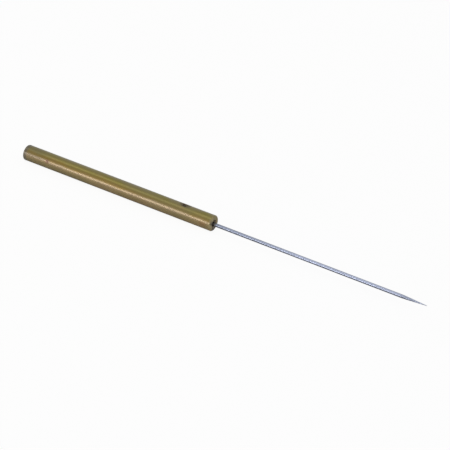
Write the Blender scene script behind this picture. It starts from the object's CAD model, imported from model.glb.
"""A scriber: a round brass handle with a steel needle held by a bush and a clamp screw.

It lies along X with the needle's tip at +X and the handle's axis on the X axis.
The screw goes in from above, along Z. Lengths are in metres.
"""
import math
import bmesh
import bpy
import numpy as np
from mathutils import Matrix, Vector


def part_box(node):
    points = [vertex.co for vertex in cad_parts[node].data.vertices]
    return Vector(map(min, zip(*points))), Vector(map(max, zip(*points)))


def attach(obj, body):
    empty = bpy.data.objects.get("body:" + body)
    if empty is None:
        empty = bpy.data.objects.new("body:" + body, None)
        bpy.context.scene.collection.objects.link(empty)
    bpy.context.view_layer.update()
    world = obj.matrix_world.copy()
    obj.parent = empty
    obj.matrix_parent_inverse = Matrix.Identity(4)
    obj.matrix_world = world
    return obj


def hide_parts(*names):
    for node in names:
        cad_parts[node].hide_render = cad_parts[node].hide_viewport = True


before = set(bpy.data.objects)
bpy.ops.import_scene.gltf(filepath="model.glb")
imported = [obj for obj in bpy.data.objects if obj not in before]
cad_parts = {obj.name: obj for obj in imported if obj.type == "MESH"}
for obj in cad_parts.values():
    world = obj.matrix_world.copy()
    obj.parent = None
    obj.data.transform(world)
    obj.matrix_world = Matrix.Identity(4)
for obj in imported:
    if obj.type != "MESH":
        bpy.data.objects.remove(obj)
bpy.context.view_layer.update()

TAU = 2 * math.pi
MM = 0.001

# ------------------------------------------------------------------ sizes, taken from the frame
tube_lo, tube_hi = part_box("handle_tube")
needle_lo, needle_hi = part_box("needle")
bush_lo, bush_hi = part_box("needle_bush")
plug_lo, plug_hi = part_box("rear_plug")
screw_lo, screw_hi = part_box("clamp_screw")

TUBE_RADIUS = (tube_hi.z - tube_lo.z) / 2
X_REAR, X_FRONT = tube_lo.x, tube_hi.x
BORE_RADIUS = 1.85 * MM
FRONT_ROUND, REAR_ROUND = 0.6 * MM, 0.4 * MM   # rounds on the tube's outer edges
BORE_BREAK = 0.15 * MM                         # round on the bore's edges
DENT_X, DENT_ANGLE = X_REAR + 14.7 * MM, math.radians(-73.9)   # angle from +Z towards +Y

NEEDLE_RADIUS = (needle_hi.z - needle_lo.z) / 2
Z_NEEDLE = (needle_hi.z + needle_lo.z) / 2
X_TANG, X_TIP = needle_lo.x, needle_hi.x
POINT_LENGTH = 13.5 * MM
X_POINT = X_TIP - POINT_LENGTH                 # where the point starts
TANG_RADIUS = 0.75 * MM
X_TAPER, X_SHANK = X_FRONT - 6.0 * MM, X_FRONT - 5.2 * MM   # taper from tang to shank
X_FLAT, RUNOUT = X_FRONT - 8.0 * MM, 0.5 * MM  # where the tang's flat ends, and its runout
Z_FLAT = 0.55 * MM                             # height of the flat above the needle's axis

SCREW_RADIUS = (screw_hi.x - screw_lo.x) / 2   # over its crests
X_SCREW = (screw_hi.x + screw_lo.x) / 2
Z_SCREW = screw_lo.z
SCREW_LENGTH = screw_hi.z - screw_lo.z
HOLE_RADIUS = 1.5 * MM                         # tapped hole
PITCH = 0.5 * MM


# ------------------------------------------------------------------ small mesh kit
class Build:
    """Collects vertices and faces, then makes a mesh of them."""

    def __init__(self):
        self.points, self.faces = [], []
        self.count = 0

    def add(self, points):
        points = np.asarray(points, float).reshape(-1, 3)
        ids = np.arange(self.count, self.count + len(points))
        self.points.append(points)
        self.count += len(points)
        return ids

    def band(self, a, b, closed=True):
        """Quads between two rows of the same length."""
        size = len(a)
        for k in range(size if closed else size - 1):
            q = (k + 1) % size
            self.faces.append((a[k], a[q], b[q], b[k]))

    def bands(self, rows):
        for a, b in zip(rows, rows[1:]):
            self.band(a, b)

    def fan(self, ring, centre):
        for k, vertex in enumerate(ring):
            self.faces.append((vertex, ring[(k + 1) % len(ring)], centre))

    def mesh(self, name):
        mesh = bpy.data.meshes.new(name)
        points = [tuple(p) for p in np.concatenate(self.points)]
        mesh.from_pydata(points, [], [tuple(int(i) for i in f) for f in self.faces])
        return mesh

    def make(self, name, sharp=32.0):
        return finish_mesh(name, self.mesh(name), sharp)


def add_object(name, data):
    ob = bpy.data.objects.new(name, data)
    bpy.context.scene.collection.objects.link(ob)
    return ob


def finish_mesh(name, mesh, sharp):
    """Drops loose vertices, turns faces outwards, shades smooth and makes the object."""
    bm = bmesh.new()
    bm.from_mesh(mesh)
    loose = [v for v in bm.verts if not v.link_faces]
    bmesh.ops.delete(bm, geom=loose, context="VERTS")
    bmesh.ops.recalc_face_normals(bm, faces=bm.faces[:])
    if bm.calc_volume(signed=True) < 0:
        bmesh.ops.reverse_faces(bm, faces=bm.faces[:])
    bm.to_mesh(mesh)
    bm.free()
    mesh.validate()
    mesh.shade_smooth()
    mesh.set_sharp_from_angle(angle=math.radians(sharp))
    return add_object(name, mesh)


def arc(cx, cr, radius, start, end, count):
    """Points of a fillet in (x, r) between two angles in degrees."""
    return [
        (cx + radius * math.cos(a), cr + radius * math.sin(a))
        for a in np.radians(np.linspace(start, end, count))
    ]


def run(start, end, steps, r, r_end=None):
    """Profile points (x, r) from start, left out, to end."""
    rise = 0.0 if r_end is None else r_end - r
    return [(start + (end - start) * k / steps, r + rise * k / steps) for k in range(1, steps + 1)]


def round_angles(count):
    return np.arange(count) * TAU / count


def screw_ring(radius, angles, z):
    """Points round the screw's axis, with angle 0 towards +X."""
    z = np.broadcast_to(z, angles.shape)
    return np.stack([X_SCREW + radius * np.cos(angles), radius * np.sin(angles), z], -1)


# ------------------------------------------------------------------ handle tube
TUBE_SEGMENTS = 192
PATCH_ROUND, PATCH_ALONG = 56, 28         # segments of the patch round the screw hole
PATCH_HALF = 2.6 * MM                     # its half-length along X
HOLE_BEVEL = 0.16 * MM
SKIN_RADIUS = TUBE_RADIUS - 0.004 * MM    # the patch sits as low as the worn surface
DENT_DEPTH, DENT_WIDTH = 0.055 * MM, 0.26 * MM
WAVE_DEPTH = 0.0011 * MM                  # of the hand-worn unevenness
THREAD_ROWS, THREAD_CUT = 44, 0.07 * MM   # of the tapped wall


def fine_steps(points, lo, hi, coarse):
    """x positions from lo to hi that include the points, with no step over coarse."""
    out = [lo]
    for p in sorted(points) + [hi]:
        gap = p - out[-1]
        if gap > 1e-9:
            n, base = int(math.ceil(gap / coarse)), out[-1]
            out += [base + gap * k / n for k in range(1, n + 1)]
    return out


def worn_radii(profile, angles, outer_rows):
    """Radius at every row and angle, with the dent and wear pressed into the outer rows."""
    x = np.repeat(profile[:, 0:1], len(angles), 1)
    radii = np.repeat(profile[:, 1:2], len(angles), 1)
    outer = (np.arange(len(profile)) < outer_rows)[:, None]
    turn = (angles - DENT_ANGLE + math.pi) % TAU - math.pi
    distance = np.hypot(x - DENT_X, turn[None, :] * TUBE_RADIUS)
    radii -= outer * DENT_DEPTH * np.exp(-(distance / DENT_WIDTH) ** 2)
    rng = np.random.default_rng(7)
    for _ in range(9):
        along, around = rng.uniform(30, 240), rng.integers(1, 4)
        p, q = rng.uniform(0, TAU, 2)
        wave = np.cos(x * along + p) * np.cos(around * angles[None, :] + q)
        radii -= outer * WAVE_DEPTH * (1 + wave)
    return radii


def make_tube():
    b = Build()
    patch_x = [X_SCREW - PATCH_HALF + 2 * PATCH_HALF * k / PATCH_ALONG
               for k in range(PATCH_ALONG + 1)]
    dent_x = [DENT_X + d * MM for d in np.linspace(-1.0, 1.0, 21)]
    outer_x = fine_steps(patch_x + dent_x, X_REAR + REAR_ROUND, X_FRONT - FRONT_ROUND, 0.8 * MM)
    bore_x = fine_steps(patch_x, X_REAR + BORE_BREAK, X_FRONT - BORE_BREAK, 2.0 * MM)[::-1]

    # closed profile: rear round, outside, front round and face, bore, rear face
    break_r = BORE_RADIUS + BORE_BREAK
    rear_r, front_r = TUBE_RADIUS - REAR_ROUND, TUBE_RADIUS - FRONT_ROUND
    profile = arc(X_REAR + REAR_ROUND, rear_r, REAR_ROUND, 180, 90, 9)
    outer_start = len(profile) - 1
    profile += [(x, TUBE_RADIUS) for x in outer_x[1:]]
    outer_end = len(profile) - 1
    profile += arc(X_FRONT - FRONT_ROUND, front_r, FRONT_ROUND, 90, 0, 17)[1:]
    profile += run(X_FRONT, X_FRONT, 3, front_r, break_r)
    profile += arc(X_FRONT - BORE_BREAK, break_r, BORE_BREAK, 0, -90, 5)[1:]
    bore_start = len(profile) - 1
    profile += [(x, BORE_RADIUS) for x in bore_x[1:]]
    bore_end = len(profile) - 1
    profile += arc(X_REAR + BORE_BREAK, break_r, BORE_BREAK, 270, 180, 5)[1:]
    profile += run(X_REAR, X_REAR, 3, break_r, rear_r)[:-1]
    profile = np.array(profile)

    angles = round_angles(TUBE_SEGMENTS)
    radii = worn_radii(profile, angles, outer_end + 12)
    x = np.repeat(profile[:, 0:1], TUBE_SEGMENTS, 1)
    points = np.stack([x, radii * np.sin(angles), radii * np.cos(angles)], -1)
    grid = b.add(points).reshape(len(profile), TUBE_SEGMENTS)

    half = PATCH_ROUND // 2
    columns = [j % TUBE_SEGMENTS for j in range(-half, half + 1)]
    inside = set(columns[:-1])

    def row_at(lo, hi, x):
        return lo + int(np.argmin(abs(profile[lo : hi + 1, 0] - x)))

    outer_lo, outer_hi = (row_at(outer_start, outer_end, patch_x[k]) for k in (0, -1))
    # the bore's rows run from the front to the rear
    bore_hi, bore_lo = (row_at(bore_start, bore_end, patch_x[k]) for k in (-1, 0))
    for i in range(len(profile)):
        q = (i + 1) % len(profile)
        in_patch = outer_lo <= i < outer_hi or bore_hi <= i < bore_lo
        for j in range(TUBE_SEGMENTS):
            if in_patch and j in inside:
                continue
            k = (j + 1) % TUBE_SEGMENTS
            b.faces.append((grid[i, j], grid[i, k], grid[q, k], grid[q, j]))

    def border(rows):
        """Ids round the patch from its +X, -Y corner towards +Y. rows run towards +X."""
        front = [grid[rows[-1], j] for j in columns]
        right = [grid[i, columns[-1]] for i in rows[::-1]]
        rear = [grid[rows[0], j] for j in columns[::-1]]
        left = [grid[i, columns[0]] for i in rows]
        return np.array(front[:-1] + right[:-1] + rear[:-1] + left[:-1])

    # angles round the hole that match the patch's border, one quarter turn to a side
    around = []
    for count, start in ((PATCH_ROUND, -45), (PATCH_ALONG, 45),
                         (PATCH_ROUND, 135), (PATCH_ALONG, 225)):
        around += list(np.radians(start + 90 * np.arange(count) / count))
    around = np.array(around)

    def patch(rows, surface, hole, rings, ease):
        """Rings from the round hole out to the square border, on a cylinder of radius surface."""
        ids = border(rows)
        square = points.reshape(-1, 3)[ids][:, :2]
        circle = screw_ring(hole, around, 0.0)[:, :2]
        loops = []
        for k in range(rings):
            t = (k / rings) ** ease
            xy = circle * (1 - t) + square * t
            z = np.sqrt(surface**2 - xy[:, 1] ** 2)
            loops.append(b.add(np.stack([xy[:, 0], xy[:, 1], z], -1)))
        b.bands(loops + [ids])
        return loops[0]

    outer_rows = list(range(outer_lo, outer_hi + 1))
    bore_rows = list(range(bore_lo, bore_hi - 1, -1))
    outer_ring = patch(outer_rows, SKIN_RADIUS, HOLE_RADIUS + HOLE_BEVEL, rings=12, ease=1.25)
    inner_ring = patch(bore_rows, BORE_RADIUS, HOLE_RADIUS, rings=5, ease=1.0)

    # rolled edge, then the tapped wall with shallow thread turns cut outwards
    wall = [outer_ring]
    for a in np.radians([22, 45, 68, 90]):
        r = HOLE_RADIUS + HOLE_BEVEL * (1 - math.sin(a))
        drop = HOLE_BEVEL * (1 - math.cos(a))
        z = np.sqrt(SKIN_RADIUS**2 - (r * np.sin(around)) ** 2) - drop
        wall.append(b.add(screw_ring(r, around, z)))
    z_top = np.sqrt(SKIN_RADIUS**2 - (HOLE_RADIUS * np.sin(around)) ** 2) - HOLE_BEVEL
    z_bore = np.sqrt(BORE_RADIUS**2 - (HOLE_RADIUS * np.sin(around)) ** 2)
    for k in range(1, THREAD_ROWS):
        z = z_top + (z_bore - z_top) * k / THREAD_ROWS
        phase = ((z - Z_SCREW) / PITCH - around / TAU) % 1.0
        fade = min(1, 3 * k / THREAD_ROWS, 3 * (THREAD_ROWS - k) / THREAD_ROWS)
        cut = THREAD_CUT * np.clip(1 - abs(phase - 0.5) / 0.36, 0, 1) * fade
        wall.append(b.add(screw_ring(HOLE_RADIUS + cut, around, z)))
    b.bands(wall + [inner_ring])
    return b.make("handle_tube_visual")


# ------------------------------------------------------------------ turned pieces
def turned(name, profile, angles, z_axis=0.0, shape=None, sharp=32.0):
    """A closed turned solid along X. profile is (x, r) from axis to axis."""
    b = Build()
    rows = []
    for x, r in profile:
        if r < 1e-9:
            rows.append(b.add([(x, 0, z_axis)])[0])
            continue
        radii = np.full(len(angles), r)
        if shape is not None:
            radii = shape(x, radii, angles)
        y, z = radii * np.sin(angles), z_axis + radii * np.cos(angles)
        rows.append(b.add(np.stack([np.full(len(angles), x), y, z], -1)))
    for a, c in zip(rows, rows[1:]):
        if np.ndim(a) == 0:
            b.fan(c, a)
        elif np.ndim(c) == 0:
            b.fan(a, c)
        else:
            b.band(a, c)
    return b.make(name, sharp)


# needle: chamfered tang with its flat, long shank, ground point
NEEDLE_SEGMENTS = 96
TIP_RADIUS = 0.10 * MM
TANG_CHAMFER = 0.2 * MM
# the point's radius: (share of its length, share of the needle's radius)
POINT_KEYS = np.array([
    (0.0, 1.0), (0.28, 0.810), (0.55, 0.550), (0.80, 0.310), (1.0, TIP_RADIUS / NEEDLE_RADIUS),
])
POINT_SLOPES = (-0.020, -0.062)    # radius against x, where the point starts and at its tip


def key_slopes():
    """Slopes at the keys that make a smooth cubic through all of them."""
    xs, ys = POINT_KEYS.T
    n = len(xs)
    matrix = np.zeros((n, n))
    rhs = np.zeros(n)
    h = np.diff(xs)
    for i, slope in zip((0, -1), POINT_SLOPES):
        matrix[i, i], rhs[i] = 1, slope * POINT_LENGTH / NEEDLE_RADIUS
    for i in range(1, n - 1):
        matrix[i, i - 1] = 1 / h[i - 1]
        matrix[i, i] = 2 * (1 / h[i - 1] + 1 / h[i])
        matrix[i, i + 1] = 1 / h[i]
        rhs[i] = 3 * ((ys[i] - ys[i - 1]) / h[i - 1] ** 2 + (ys[i + 1] - ys[i]) / h[i] ** 2)
    return np.linalg.solve(matrix, rhs)


def radius_share(t, slopes):
    """Share of the needle's radius at share t of the point's length."""
    xs, ys = POINT_KEYS.T
    i = int(np.clip(np.searchsorted(xs, t) - 1, 0, len(xs) - 2))
    h = xs[i + 1] - xs[i]
    u = (t - xs[i]) / h
    start, start_slope = 2 * u**3 - 3 * u**2 + 1, u**3 - 2 * u**2 + u
    end, end_slope = -2 * u**3 + 3 * u**2, u**3 - u**2
    return (start * ys[i] + start_slope * h * slopes[i]
            + end * ys[i + 1] + end_slope * h * slopes[i + 1])


def ground(x, r, angles):
    """The flat on the tang, and long, faint facets inside the point's true cone."""
    if x < X_FLAT + RUNOUT:
        top = Z_FLAT + (TANG_RADIUS - Z_FLAT) * max(0.0, x - X_FLAT) / RUNOUT
        up = np.cos(angles)
        return np.where(up > 1e-6, np.minimum(r, top / np.maximum(up, 1e-6)), r)
    t = np.clip((x - X_POINT) / (3 * MM), 0, 1)
    t = t * t * (3 - 2 * t)
    seven = 0.010 * t * (1 + np.cos(7 * angles + 900 * (x - X_POINT))) / 2
    three = 0.006 * t * (1 + np.cos(3 * angles + 1.1)) / 2
    return r * (1 - seven - three)


def make_needle():
    x_full = X_TANG + TANG_CHAMFER
    profile = [
        (X_TANG, 0.0), (X_TANG, TANG_RADIUS * 0.45), (X_TANG, TANG_RADIUS - TANG_CHAMFER),
        (X_TANG + TANG_CHAMFER / 2, TANG_RADIUS - TANG_CHAMFER / 2), (x_full, TANG_RADIUS),
    ]
    profile += run(x_full, X_FLAT, 24, TANG_RADIUS)
    profile += [(X_FLAT + RUNOUT * k / 14, TANG_RADIUS) for k in range(1, 16)]
    profile += run(profile[-1][0], X_TAPER, 3, TANG_RADIUS)
    profile += run(X_TAPER, X_SHANK, 4, TANG_RADIUS, NEEDLE_RADIUS)
    profile += run(X_SHANK, X_POINT, 120, NEEDLE_RADIUS)
    slopes = key_slopes()
    profile += [(X_POINT + POINT_LENGTH * t, NEEDLE_RADIUS * radius_share(t, slopes))
                for t in np.linspace(0, 1, 121)[1:-1]]
    profile += [
        (X_TIP - 0.045 * MM, TIP_RADIUS), (X_TIP - 0.018 * MM, TIP_RADIUS * 0.82),
        (X_TIP - 0.003 * MM, TIP_RADIUS * 0.4), (X_TIP, 0.0),
    ]
    # one vertex row on each side moves onto the edge of the flat
    angles = round_angles(NEEDLE_SEGMENTS)
    crease = math.acos(Z_FLAT / TANG_RADIUS)
    k = int(round(crease / (TAU / NEEDLE_SEGMENTS)))
    angles[k], angles[NEEDLE_SEGMENTS - k] = crease, TAU - crease
    return turned("needle_visual", profile, angles, Z_NEEDLE, ground, sharp=20)


def make_plug():
    """Rear plug: turned face with shallow tool rings and a small centre mark."""
    radius, rear, front = plug_hi.z, plug_lo.x, plug_hi.x
    edge, mark, chamfer, groove = 0.2 * MM, 0.34 * MM, 0.3 * MM, 0.006 * MM
    profile = [(rear + 0.22 * MM, 0.0), (rear + 0.12 * MM, 0.14 * MM), (rear, mark)]
    for k in range(1, 34):
        r = mark + (radius - edge - mark) * k / 34
        profile.append((rear + (groove if k % 2 else 0.0), r))
    profile += [(rear, radius - edge), (rear + 0.06 * MM, radius - 0.06 * MM)]
    profile += [(rear + edge, radius)]
    profile += run(rear + edge, front - chamfer, 10, radius)
    profile += [(front, radius - chamfer), (front, 0.0)]
    return turned("rear_plug_visual", profile, round_angles(128))


# needle bush: turned blank with a blind hole from the front and a cross hole from above
BUSH_RADIUS = bush_hi.z


def make_bush_blank():
    rear, front = bush_lo.x, bush_hi.x
    hole, sink, chamfer, groove = 1.15 * MM, 0.2 * MM, 0.3 * MM, 0.004 * MM
    edge = BUSH_RADIUS - chamfer
    profile = [(rear, 0.0), (rear, edge), (rear + chamfer, BUSH_RADIUS)]
    profile += run(rear + chamfer, front - chamfer, 24, BUSH_RADIUS)
    profile += [(front - 0.09 * MM, BUSH_RADIUS - 0.12 * MM), (front, edge)]
    for k in range(1, 4):
        r = edge + (hole + sink - edge) * k / 4
        profile.append((front - (groove if k % 2 else 0.0), r))
    profile += [(front, hole + sink), (front - sink, hole)]
    profile += run(front - sink, front - 18.0 * MM, 20, hole)
    profile += [(front - 18.5 * MM, 0.42 * MM), (front - 18.75 * MM, 0.0)]
    return turned("needle_bush_visual", profile, round_angles(128))


def cross_hole(ob):
    """Cuts the screw's hole through the upper wall of the piece."""
    b = Build()
    angles = round_angles(120)
    z_top = BUSH_RADIUS + 1 * MM
    rows = [b.add(screw_ring(HOLE_RADIUS, angles, z)) for z in np.linspace(0.0, z_top, 14)]
    b.bands(rows)
    b.fan(rows[0], b.add([(X_SCREW, 0, 0.0)])[0])
    b.fan(rows[-1], b.add([(X_SCREW, 0, z_top)])[0])
    cutter = b.make("cut")
    # the cut is made at 1000 times the size, because the pieces are only millimetres across
    for o in (ob, cutter):
        o.data.transform(Matrix.Scale(1000, 4))
    mod = ob.modifiers.new("cut", "BOOLEAN")
    mod.operation, mod.solver, mod.object = "DIFFERENCE", "EXACT", cutter
    depsgraph = bpy.context.evaluated_depsgraph_get()
    mesh = bpy.data.meshes.new_from_object(ob.evaluated_get(depsgraph), depsgraph=depsgraph)
    mesh.transform(Matrix.Scale(0.001, 4))
    name = ob.name
    bpy.data.objects.remove(ob)
    bpy.data.objects.remove(cutter)
    mesh.name = name
    return finish_mesh(name, mesh, 30)


# ------------------------------------------------------------------ clamp screw
def make_screw():
    b = Build()
    angles = round_angles(96)
    depth = 0.27 * MM                                  # of the thread
    tip_chamfer, top_chamfer = 0.3 * MM, 0.15 * MM
    flat, socket, cone = 0.75 * MM, 1.3 * MM, 0.3 * MM  # hex half-width, depth, cone below
    crest, root = 0.08, 0.37                           # flank's ends, in pitches from the crest

    def ring(r, z):
        return b.add(screw_ring(r, angles, Z_SCREW + z))

    def thread(z):
        phase = (z / PITCH - angles / TAU) % 1.0
        off = np.minimum(phase, 1 - phase)
        r = SCREW_RADIUS - depth * np.clip((off - crest) / (root - crest), 0, 1)
        tip, top = SCREW_RADIUS - tip_chamfer + z, SCREW_RADIUS - top_chamfer + (SCREW_LENGTH - z)
        return np.minimum(r, np.minimum(tip, top))

    centre = b.add([(X_SCREW, 0, Z_SCREW)])[0]
    rows = [ring(0.5 * MM, 0.0), ring(SCREW_RADIUS - tip_chamfer, 0.0)]
    b.fan(rows[0], centre)
    steps = int(round(SCREW_LENGTH / (PITCH / 16)))
    for k in range(1, steps):
        z = SCREW_LENGTH * k / steps
        rows.append(ring(thread(z), z))
    # top face, then down the hex socket to its coned bottom
    top_radius = SCREW_RADIUS - top_chamfer
    hexagon = flat / np.cos((angles % (TAU / 6)) - TAU / 12)
    rows.append(ring(top_radius, SCREW_LENGTH))
    rows.append(ring((top_radius + hexagon + 0.05 * MM) / 2, SCREW_LENGTH))
    rows.append(ring(hexagon + 0.05 * MM, SCREW_LENGTH))
    rows.append(ring(hexagon + 0.015 * MM, SCREW_LENGTH - 0.018 * MM))
    for k in range(6):
        rows.append(ring(hexagon, SCREW_LENGTH - 0.06 * MM - (socket - 0.06 * MM) * k / 5))
    rows.append(ring(flat * 0.97, SCREW_LENGTH - socket - 0.01 * MM))
    rows.append(ring(flat * 0.5, SCREW_LENGTH - socket - cone * 0.5))
    b.bands(rows)
    b.fan(rows[-1], b.add([(X_SCREW, 0, Z_SCREW + SCREW_LENGTH - socket - cone)])[0])
    return b.make("clamp_screw_visual", 28)


tube = make_tube()
needle = make_needle()
plug = make_plug()
bush = cross_hole(make_bush_blank())
screw = make_screw()

# ------------------------------------------------------------------ ride on the frame
for ob, body, node, slot in (
    (tube, "handle", "handle_tube", "aged_brass"),
    (plug, "handle", "rear_plug", "turned_brass"),
    (bush, "handle", "needle_bush", "turned_brass"),
    (needle, "needle", "needle", "needle_steel"),
    (screw, "clamp_screw", "clamp_screw", "black_steel"),
):
    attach(ob, body)
    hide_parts(node)


# ------------------------------------------------------------------ material kit
class Value:
    """A shader socket that can be added, subtracted and multiplied, one maths node each."""

    def __init__(self, nodes, socket):
        self.nodes, self.socket = nodes, socket

    def __add__(self, other):
        return self.nodes.math("ADD", self, other)

    def __radd__(self, other):
        return self.nodes.math("ADD", other, self)

    def __sub__(self, other):
        return self.nodes.math("SUBTRACT", self, other)

    def __rsub__(self, other):
        return self.nodes.math("SUBTRACT", other, self)

    def __mul__(self, other):
        return self.nodes.math("MULTIPLY", self, other)


class Nodes:
    """Short-hand for shader nodes. A Value, a socket or a number can go into any input."""

    def __init__(self, node_tree):
        self.tree = node_tree

    def put(self, socket, value):
        if isinstance(value, Value):
            value = value.socket
        if isinstance(value, bpy.types.NodeSocket):
            self.tree.links.new(value, socket)
        else:
            if socket.type == "RGBA" and len(value) == 3:
                value = (*value, 1.0)
            socket.default_value = value

    def node(self, kind, *inputs, **props):
        node = self.tree.nodes.new(kind)
        for name, value in props.items():
            setattr(node, name, value)
        for i, value in enumerate(inputs):
            self.put(node.inputs[i], value)
        return node

    def value(self, kind, *inputs, **props):
        return Value(self, self.node(kind, *inputs, **props).outputs[0])

    def math(self, operation, *inputs, **props):
        return self.value("ShaderNodeMath", *inputs, operation=operation, **props)

    def xyz(self, vector):
        return [Value(self, s) for s in self.node("ShaderNodeSeparateXYZ", vector).outputs]

    def ramp(self, value, start, end, low=0.0, high=1.0):
        """Smooth step from low at start to high at end."""
        return self.value("ShaderNodeMapRange", value, start, end, low, high,
                          interpolation_type="SMOOTHSTEP")


class Material(Nodes):
    def __init__(self, name):
        self.mat = bpy.data.materials.new(name)
        self.mat.use_nodes = True
        super().__init__(self.mat.node_tree)
        self.tree.nodes.clear()
        self.out = self.node("ShaderNodeOutputMaterial")
        self.bsdf = self.node("ShaderNodeBsdfPrincipled")
        self.put(self.out.inputs[0], self.bsdf.outputs[0])
        self.coords = self.node("ShaderNodeTexCoord").outputs["Object"]

    def put_all(self, node, values):
        for name, value in values.items():
            self.put(node.inputs[name], value)

    def noise_at(self, vector, detail=2, rough=0.5, distort=0.0):
        node = self.node("ShaderNodeTexNoise")
        self.put_all(node, {"Vector": vector, "Scale": 1.0, "Detail": detail,
                            "Roughness": rough, "Distortion": distort})
        return Value(self, node.outputs["Fac"])

    def noise(self, frequency, shift=(0, 0, 0), **settings):
        """Noise with its own frequency per metre along each axis."""
        kind = "ShaderNodeVectorMath"
        scaled = self.value(kind, self.coords, frequency, operation="MULTIPLY")
        return self.noise_at(self.value(kind, scaled, shift, operation="ADD"), **settings)

    def combine(self, x, y, z):
        return self.value("ShaderNodeCombineXYZ", x, y, z)

    def mix(self, factor, a, b):
        node = self.node("ShaderNodeMix", factor, data_type="RGBA")
        self.put(node.inputs[6], a)   # inputs 6 and 7 and output 2 are the colours
        self.put(node.inputs[7], b)
        return Value(self, node.outputs[2])

    def paint(self, mask, colour, share=None):
        """Lays a colour over the colour so far."""
        if share is not None:
            mask = mask * share
        self.colour = self.mix(mask, self.colour, colour)

    def radius(self, a, b):
        return self.math("SQRT", a * a + b * b)

    def finish(self, metallic, rough, height, strength):
        """Sets the surface. height is the bump's, in metres."""
        bump = self.node("ShaderNodeBump")
        self.put_all(bump, {"Strength": strength, "Distance": 1.0, "Height": height})
        self.put_all(self.bsdf, {"Base Color": self.colour, "Metallic": metallic,
                                 "Roughness": rough, "Normal": bump.outputs[0]})
        return self.mat


def flank_height(y, z, radius):
    """From -1 to +1 up the flank, seen square to the side that faces -Y and up."""
    return y * (0.469 / radius) + z * (0.883 / radius)


# ------------------------------------------------------------------ materials
# tones of the handle, from its lowest flank to its highest
LOW_TONE, OCHRE = (0.520, 0.382, 0.178), (0.395, 0.262, 0.060)
OLIVE, TOP_TONE = (0.325, 0.262, 0.050), (0.325, 0.265, 0.095)
SCRATCH = (0.56, 0.46, 0.27)
COAT = 1.0   # weight of the wax film


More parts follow.
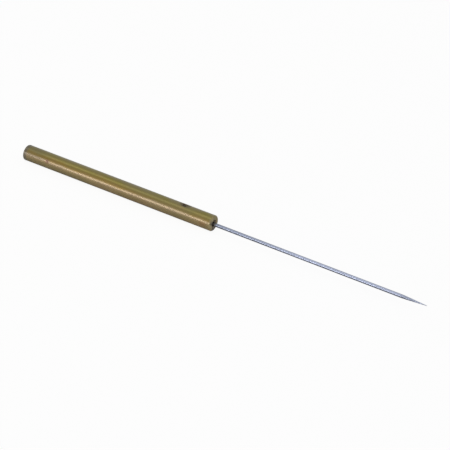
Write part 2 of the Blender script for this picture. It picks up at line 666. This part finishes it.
def aged_brass():
    """Drawn streaks along the tube, olive tarnish above and browner wear below."""
    t = Material("aged_brass")
    ramp, noise = t.ramp, t.noise
    x, y, z = t.xyz(t.coords)
    streak = noise((14, 900, 900), detail=4, rough=0.55)
    band = noise((9, 330, 330), shift=(6, 2, 8))
    fine = noise((45, 5200, 5200), shift=(3, 1, 7), detail=3, rough=0.6)
    mottle = noise((120, 260, 260), shift=(1, 5, 2), detail=4, rough=0.55, distort=0.6)
    cloud = noise((34, 120, 120), shift=(9, 4, 1))
    warm = noise((48, 170, 170), shift=(3, 7, 4))
    speck = ramp(noise((1500, 2300, 2300), shift=(5, 5, 5)), start=0.66, end=0.76)
    along = noise((240, 5200, 3100), shift=(2, 8, 3), detail=1, rough=0.4, distort=0.25)
    along = ramp(along, start=0.685, end=0.73)     # scratches along the tube
    across = noise((2600, 420, 420), shift=(8, 2, 6), detail=1, rough=0.4, distort=0.35)
    across = ramp(across, start=0.70, end=0.74)    # scratches across it

    # tones by height; the side that faces +Y has brown tones too
    side = flank_height(y, z, TUBE_RADIUS) + (mottle - 0.5) * 0.45
    side = side - ramp(y, start=0.0014, end=0.0036) * 0.75
    t.colour = t.mix(ramp(side, start=-0.62, end=-0.10), LOW_TONE, OCHRE)
    t.paint(ramp(side, start=0.05, end=0.42), OLIVE)
    t.paint(ramp(side, start=0.50, end=0.95), TOP_TONE)
    # pale and dark streaks, then broad, cloudy and warm patches
    t.paint(ramp(streak, start=0.50, end=0.66), (0.46, 0.375, 0.175), share=0.20)
    t.paint(ramp(streak, start=0.46, end=0.30), (0.21, 0.160, 0.070), share=0.22)
    t.paint(ramp(band, start=0.50, end=0.64), (0.30, 0.275, 0.098), share=0.16)
    t.paint(ramp(cloud, start=0.46, end=0.66), (0.255, 0.235, 0.120), share=0.22)
    t.paint(ramp(warm, start=0.56, end=0.70), (0.40, 0.245, 0.105), share=0.34)
    # green patches above, ochre ones at mid height, paler ones below
    green = noise((62, 210, 210), shift=(5, 9, 3))
    green = ramp(green, start=0.50, end=0.64) * ramp(side, start=0.10, end=0.35)
    t.paint(green, (0.318, 0.272, 0.026), share=0.75)
    ochre = noise((40, 160, 160), shift=(1, 3, 8))
    middle = ramp(side, start=-0.08, end=0.06) * ramp(side, start=0.42, end=0.22)
    t.paint(ramp(ochre, start=0.46, end=0.60) * middle, (0.375, 0.245, 0.022), share=0.60)
    below = ramp(ochre, start=0.50, end=0.38) * ramp(side, start=-0.35, end=-0.55)
    t.paint(below, (0.36, 0.30, 0.10), share=0.35)
    line = ramp(side, start=-0.52, end=-0.28) * ramp(side, start=0.02, end=-0.14)
    t.paint(line, (0.425, 0.318, 0.200), share=0.75)
    # one warm stain low on the -Y flank, close behind the mouth
    stain = t.radius((x - (X_FRONT - 0.0042)) * 0.8, (z + 0.00045) * 1.5)
    stain = ramp(stain + mottle * 0.0010, start=0.0030, end=0.0012)
    stain = stain * ramp(y, start=-0.001, end=-0.003)
    t.paint(stain, (0.430, 0.225, 0.085), share=0.60)

    # cleaner metal where hands and cloths reach the front corner
    front_edge = ramp(X_FRONT - x, start=0.0014, end=0.0003)
    ragged = noise((1100, 1100, 1100), shift=(2, 6, 6), detail=4, rough=0.65)
    rear_edge = ramp(x - X_REAR - (mottle * 0.0010 + ragged * 0.0014), start=0.0013, end=0.0002)
    outside = ramp(t.radius(y, z), start=BORE_RADIUS + 0.0003, end=BORE_RADIUS + 0.0009)
    worn = front_edge * outside * ramp(mottle, start=0.35, end=0.65, low=0.15, high=0.55)
    t.paint(worn, (0.46, 0.37, 0.20))
    near = ramp(y, start=-0.0004, end=-0.0018)
    near = near * ramp(x, start=X_FRONT - 0.0006, end=X_FRONT - 0.0002)
    near = near * ramp(z, start=-0.0034, end=-0.0026)
    t.paint(near, (0.60, 0.48, 0.23), share=0.90)
    # the rear end is duller, and its rounded rim has darkened
    dull = ramp(x - X_REAR, start=0.0155, end=0.0080)
    dull = dull * ramp(mottle, start=0.30, end=0.60, low=0.75, high=1.0)
    t.paint(dull, (0.215, 0.180, 0.105), share=0.22)
    rim = ramp(t.radius(y, z), start=TUBE_RADIUS - 0.0016, end=TUBE_RADIUS - 0.0005, low=0.30)
    t.paint(rear_edge * rim, (0.215, 0.184, 0.132), share=0.80)

    # scratches and specks
    t.paint(along, SCRATCH, share=0.26)
    t.paint(across, SCRATCH, share=0.20)
    t.paint(speck, (0.085, 0.064, 0.042), share=0.40)
    # dirt round the screw hole and in the dent
    hole = t.radius(x - X_SCREW, y)
    upper = ramp(z, start=0.0005, end=0.0015)
    smear = t.radius((x - (X_SCREW + 0.0003)) * 0.86, y * 1.45)
    hole_grime = ramp(smear + mottle * 0.0012, start=0.0038, end=0.0026) * upper
    inner = ramp(t.radius(y, z), start=BORE_RADIUS + 0.00025, end=BORE_RADIUS + 0.00002)
    dent_y, dent_z = TUBE_RADIUS * math.sin(DENT_ANGLE), TUBE_RADIUS * math.cos(DENT_ANGLE)
    dent = t.radius(x - DENT_X, t.radius(y - dent_y, z - dent_z))
    dent_grime = ramp(dent, start=0.00060, end=0.00015)
    grime = t.math("MAXIMUM", hole_grime * 0.62, dent_grime * 0.35)
    t.paint(ramp(dent, start=0.0014, end=0.0005), (0.26, 0.125, 0.070), share=0.85)
    t.paint(grime, (0.130, 0.100, 0.070))
    # the low part of the front face is dark; the bore and the hole's wall are dry and pale
    wall = ramp(hole, start=0.00166, end=0.00158) * upper
    low_face = ramp(z, start=-0.0004, end=-0.0020) * ramp(y, start=-0.0022, end=-0.0004)
    low_face = ramp(x, start=X_FRONT - 0.00045, end=X_FRONT - 0.00015) * low_face
    t.paint(low_face, (0.115, 0.102, 0.088), share=0.75)
    t.paint(inner, (0.560, 0.455, 0.310), share=0.85)
    t.paint(wall, (0.400, 0.320, 0.210), share=0.85)
    dry = t.math("MAXIMUM", inner * 0.85, wall * 0.85)

    metallic = t.math("SUBTRACT", 0.94 - grime * 0.5, dry, use_clamp=True)
    rough = 0.355 + mottle * 0.02 + ramp(cloud, start=0.40, end=0.65) * 0.015 + fine * 0.015
    rough = rough + t.math("MAXIMUM", grime, dry) * 0.3 + dull * 0.10 - worn * 0.05
    # a thin, worn wax film whitens the highlight and the grazing edges
    t.put_all(t.bsdf, {
        "Coat Weight": (1.0 - t.math("MAXIMUM", grime, dry)) * COAT,
        "Coat Roughness": 0.27 + mottle * 0.05,
        "Coat IOR": 1.45,
    })
    height = fine * 1.4e-6 + streak * 1.6e-6
    height = height - t.math("MAXIMUM", along, across) * 2.8e-6 - speck * 3.5e-6
    # turning marks on both end faces
    turns = t.noise_at(t.combine(t.radius(y, z) * 7000, 0.0, 0.0), rough=0.6)
    ends = t.math("MAXIMUM", ramp(x, start=X_FRONT - 0.00020, end=X_FRONT - 0.00005),
                  ramp(x, start=X_REAR + 0.00020, end=X_REAR + 0.00005))
    return t.finish(metallic, rough, height=height + turns * ends * 7e-6, strength=0.8)


def turned_brass(name, dirt):
    """Brass with fine turning rings, for the bush and plug."""
    t = Material(name)
    ramp = t.ramp
    x, y, z = t.xyz(t.coords)
    rings = t.combine(x * 900, t.radius(y, z) * 9000, 0.0)
    rings = t.noise_at(rings, detail=3, rough=0.7)
    mottle = t.noise((500, 700, 700), shift=(4, 2, 6), detail=4, rough=0.6)
    speck = ramp(t.noise((2400, 2400, 2400)), start=0.64, end=0.74)
    dark, light = (0.30, 0.205, 0.085), (0.46, 0.345, 0.145)
    t.colour = t.mix(ramp(mottle, start=0.32, end=0.66), dark, light)
    t.paint(ramp(rings, start=0.4, end=0.65), (0.56, 0.44, 0.21), share=0.3)
    t.paint(speck, (0.08, 0.055, 0.03), share=0.5)
    t.paint(dirt, (0.06, 0.045, 0.03))
    rough = ramp(mottle, start=0.3, end=0.7, low=0.24, high=0.42) + rings * 0.08
    return t.finish(metallic=0.95, rough=rough, height=rings * 4e-6 - speck * 5e-6, strength=0.8)


def needle_steel():
    """Bright drawn steel, a little greyer towards the handle."""
    t = Material("needle_steel")
    ramp = t.ramp
    x, y, z = t.xyz(t.coords)
    streak = t.noise((40, 3200, 3200), detail=3)
    mottle = t.noise((110, 500, 500), shift=(7, 1, 1))
    cloud = t.noise((60, 60, 60), shift=(2, 4, 4))
    grind = t.noise_at(t.combine(x * 9000, y * 500, z * 500), detail=3, rough=0.65)
    point = ramp(x, start=X_POINT - 0.0006, end=X_POINT + 0.0006)
    tang = ramp(x, start=X_FRONT - 0.001, end=X_FRONT - 0.004)
    speck = ramp(t.noise((2600, 3600, 3600), shift=(1, 1, 9)), start=0.68, end=0.77)
    dark, light = (0.61, 0.67, 0.87), (0.66, 0.72, 0.93)
    t.colour = t.mix(ramp(mottle, start=0.35, end=0.65), dark, light)
    t.paint(ramp(streak, start=0.46, end=0.30), (0.30, 0.32, 0.38), share=0.12)
    t.paint(ramp(cloud, start=0.45, end=0.65), (0.33, 0.37, 0.46), share=0.15)
    # greyer towards the mouth, and darker underneath
    root = ramp(x, start=X_FRONT + 0.070, end=X_FRONT - 0.004)
    t.paint(root, (0.260, 0.290, 0.370), share=0.55)
    t.paint(ramp(x, start=X_FRONT + 0.008, end=X_FRONT), (0.16, 0.175, 0.215), share=0.35)
    up = flank_height(y, z - Z_NEEDLE, NEEDLE_RADIUS)
    t.paint(ramp(up, start=-0.10, end=-0.65), (0.15, 0.16, 0.205), share=0.75)
    t.paint(ramp(up, start=0.35, end=0.80), (0.33, 0.37, 0.48), share=0.25)
    t.paint(point, (0.30, 0.32, 0.37), share=0.12)
    t.paint(speck, (0.16, 0.14, 0.13), share=0.4)
    handled = ramp(mottle, start=0.4, end=0.6, low=0.15, high=0.55)
    t.paint(tang * handled, (0.22, 0.19, 0.16))
    rough = ramp(mottle, start=0.3, end=0.7, low=0.21, high=0.23) + point * 0.08
    rough = rough + grind * point * 0.06
    height = streak * 7e-7 + grind * point * 8e-6 - speck * 1e-6
    return t.finish(metallic=1.0, rough=rough, height=height, strength=0.7)


def black_oxide():
    """Black oxide steel, rubbed bright on the screw's crests and the socket's rim."""
    t = Material("black_oxide")
    ramp = t.ramp
    x, y, z = t.xyz(t.coords)
    radius = t.radius(x - X_SCREW, y)
    mottle = t.noise((1400, 1400, 1400), detail=4, rough=0.6)
    crest = ramp(radius, start=SCREW_RADIUS - 0.00006, end=SCREW_RADIUS - 0.00001)
    crest = crest * ramp(mottle, start=0.40, end=0.60)
    z_top = Z_SCREW + SCREW_LENGTH
    top = ramp(z, start=z_top - 0.00004, end=z_top - 0.00001)
    rim = ramp(radius, start=0.00105, end=0.00085) * ramp(mottle, start=0.38, end=0.60)
    dark, light = (0.190, 0.155, 0.105), (0.300, 0.250, 0.175)
    t.colour = t.mix(ramp(mottle, start=0.35, end=0.65), dark, light)
    t.paint(t.math("MAXIMUM", crest, top * rim), (0.30, 0.28, 0.26), share=0.55)
    rough = ramp(mottle, start=0.3, end=0.7, low=0.34, high=0.52)
    return t.finish(metallic=0.30, rough=rough, height=mottle * 1.2e-5, strength=0.6)


for ob, material in (
    (tube, aged_brass()),
    (bush, turned_brass("turned_brass_bush", dirt=0.25)),
    (plug, turned_brass("turned_brass_plug", dirt=0.12)),
    (needle, needle_steel()),
    (screw, black_oxide()),
):
    ob.data.materials.clear()
    ob.data.materials.append(material)

# ------------------------------------------------------------------ stage, light and camera
FLOOR_HALF, FLOOR_CELLS = 12.0, 24
FLOOR_X = 0.05                      # the floor's centre
FLOOR_Z = tube_lo.z - 0.00002
FLOOR_SEEN, SHADOW = 0.93, 0.10     # floor's own glow and the light it adds, to the camera
FLOOR_LIT = 0.86                    # its tone to every other ray
WORLD, ENDS = 0.50, 0.45            # surround's strength, and the share lost towards the ends


def make_floor():
    b = Build()
    steps = np.linspace(-FLOOR_HALF, FLOOR_HALF, FLOOR_CELLS + 1)
    rows = [b.add([(x + FLOOR_X, y, FLOOR_Z) for x in steps]) for y in steps]
    for a, c in zip(rows, rows[1:]):
        b.band(a, c, closed=False)
    return add_object("floor", b.mesh("floor"))


def pale_floor():
    t = Material("pale_floor")
    grain = t.noise((900, 900, 900), detail=4)
    tone = t.mix(grain, (FLOOR_LIT * 0.98,) * 3, (FLOOR_LIT * 1.02,) * 3)
    t.put_all(t.bsdf, {"Base Color": tone, "Roughness": 0.9, "Specular IOR Level": 0.1})
    glow = t.node("ShaderNodeEmission", (1.0, 1.0, 1.0), FLOOR_SEEN)
    diffuse = t.node("ShaderNodeBsdfDiffuse", (SHADOW,) * 3)
    seen = t.node("ShaderNodeAddShader", glow.outputs[0], diffuse.outputs[0])
    camera_ray = t.node("ShaderNodeLightPath").outputs["Is Camera Ray"]
    both = t.node("ShaderNodeMixShader", camera_ray, t.bsdf.outputs[0], seen.outputs[0])
    t.put(t.out.inputs[0], both.outputs[0])
    return t.mat


def make_world():
    """An even grey surround, a little darker towards both ends of the tool."""
    world = bpy.data.worlds.new("studio")
    bpy.context.scene.world = world
    world.use_nodes = True
    t = Nodes(world.node_tree)
    background = t.tree.nodes["Background"]
    along = t.xyz(t.node("ShaderNodeTexCoord").outputs["Generated"])[0]
    along = t.math("ABSOLUTE", along)
    strength = t.ramp(along, start=0.60, end=0.95, low=WORLD, high=WORLD * (1 - ENDS))
    t.put(background.inputs["Strength"], strength)
    t.put(background.inputs["Color"], (1.0, 1.0, 1.0))


def place(ob, at, *axes):
    ob.matrix_world = Matrix.Translation(at) @ Matrix(axes).transposed().to_4x4()


def soft_light(name, at, size, size_y, power):
    """A rectangular light aimed at the origin, its long side near X."""
    lamp = bpy.data.lights.new(name, "AREA")
    lamp.shape = "RECTANGLE"
    lamp.size, lamp.size_y = size, size_y
    lamp.energy = power
    z = Vector(at).normalized()
    x = Vector((1, 0, 0))
    x = (x - z * x.dot(z)).normalized()
    ob = bpy.data.objects.new(name, lamp)
    place(ob, at, x, z.cross(x), z)
    bpy.context.scene.collection.objects.link(ob)


def make_camera(view, azimuth, elevation, roll, distance, aim):
    """Angles in degrees: azimuth from -Y towards +X, elevation above the floor."""
    data = bpy.data.cameras.new("camera")
    data.sensor_fit = "HORIZONTAL"
    data.angle = math.radians(view)
    data.clip_start, data.clip_end = 0.01, 20
    camera = bpy.data.objects.new("camera", data)
    az, el, roll = map(math.radians, (azimuth, elevation, roll))
    back = Vector((math.sin(az) * math.cos(el), -math.cos(az) * math.cos(el), math.sin(el)))
    right = Vector((math.cos(az), math.sin(az), 0))
    up = back.cross(right)
    cos, sin = math.cos(roll), math.sin(roll)
    place(camera, Vector(aim) + back * distance, right * cos + up * sin, up * cos - right * sin, back)
    bpy.context.scene.collection.objects.link(camera)
    bpy.context.scene.camera = camera


floor = make_floor()
floor.data.materials.append(pale_floor())
make_world()
soft_light("strip", at=(-0.285, -0.62, 0.026), size=0.5, size_y=0.130, power=0.84)
soft_light("overhead", at=(-0.37, -0.18, 0.75), size=0.5, size_y=0.22, power=0.28)
make_camera(view=11.258, azimuth=28.8, elevation=25.0, roll=7.828, distance=1.1158,
            aim=(0.049617, 0.02184, -0.010218))
bpy.context.scene.view_settings.view_transform = "Standard"
